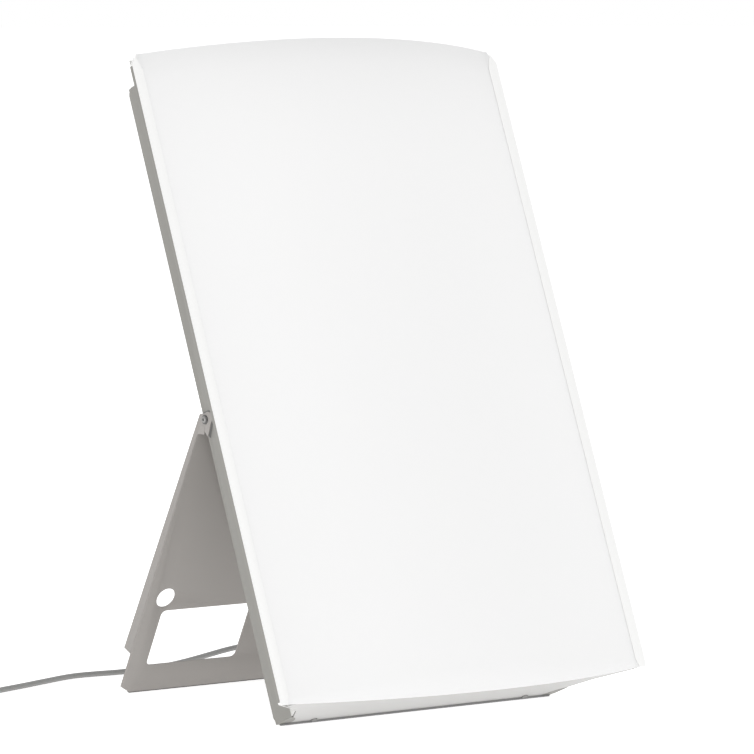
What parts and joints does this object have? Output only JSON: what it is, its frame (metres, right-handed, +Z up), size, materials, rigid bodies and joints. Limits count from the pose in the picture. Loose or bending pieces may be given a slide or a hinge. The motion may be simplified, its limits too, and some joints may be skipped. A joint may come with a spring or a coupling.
{
  "type": "light therapy lamp",
  "caption": "Tall leaning light panel with a bowed opal diffuser over long tubes in a sheet-metal tray, carried by a folding rear leg.",
  "frame": {"origin": "on the floor under the centre of the lamp's footprint, cord left out", "axes": "+Z up, +Y to the rear, so the light shines towards -Y, +X to the right seen from the front"},
  "size_m": [0.5655, 0.5005, 0.594],
  "materials": {
    "frame_paint": "fine satin powder coat",
    "leg_paint": "fine satin powder coat",
    "white_sheet": "white satin paint",
    "white_plastic": "smooth white",
    "opal": "opal acrylic, soft gloss",
    "reflector_sheet": "white coated sheet",
    "lamp_glass": "phosphor-coated tube",
    "lamp_plastic": "moulded white",
    "contact": "bright",
    "spring_steel": "bright",
    "case_alu": "satin",
    "screw_steel": "zinc plated",
    "dark_rubber": "matt",
    "foot_rubber": "matt",
    "black_plastic": "fine texture",
    "washer_plastic": "smooth",
    "lead_brown": "smooth",
    "lead_white": "smooth",
    "cord_grey": "soft satin"
  },
  "bodies": {
    "panel": {"tray": "frame_paint", "reflector": "reflector_sheet", "edge_rail_left": "white_plastic", "edge_rail_right": "white_plastic", "diffuser": "opal", "end_plate_bottom": "white_plastic", "end_plate_top": "white_plastic", "end_plate_screws": "screw_steel", "reflector_screws": "screw_steel", "lamp_glass_left": "lamp_glass", "lamp_glass_right": "lamp_glass", "lamp_base_left": "lamp_plastic", "lamp_base_right": "lamp_plastic", "lamp_pins": "contact", "lamp_holder_left": "lamp_plastic", "lamp_holder_right": "lamp_plastic", "lamp_clip_left": "spring_steel", "lamp_clip_right": "spring_steel", "ballast": "case_alu", "ballast_terminals": "lamp_plastic", "ballast_screws": "screw_steel", "terminal_block": "lamp_plastic", "mains_leads": "lead_brown", "lamp_leads": "lead_white", "lead_grommets": "dark_rubber", "switch_frame": "black_plastic", "cord_gland": "black_plastic", "gland_nut": "black_plastic", "cord_boot": "dark_rubber", "pivot_bushes": "screw_steel", "pivot_screw_left": "screw_steel", "pivot_screw_right": "screw_steel", "tray_foot_strip": "foot_rubber", "cord_run": "cord_grey", "cord_coil": "cord_grey", "cord_tail": "cord_grey", "cord_tie": "black_plastic", "plug_body": "cord_grey", "plug_pins": "screw_steel"},
    "leg": {"leg": "leg_paint", "leg_foot_strip": "foot_rubber", "pivot_washer_left": "washer_plastic", "pivot_washer_right": "washer_plastic"},
    "switch": {"switch_rocker": "black_plastic"}
  },
  "joints": [
    {"name": "leg_fold", "type": "hinge", "parent": "panel", "child": "leg", "pos_m": [0, 0.04062, 0.26007], "axis": [-1, 0, 0], "range_deg": [0, 48]},
    {"name": "switch_rock", "type": "hinge", "parent": "panel", "child": "switch", "pos_m": [0.048, 0.06177, 0.30381], "axis": [-1, 0, 0], "range_deg": [0, 16]}
  ]
}
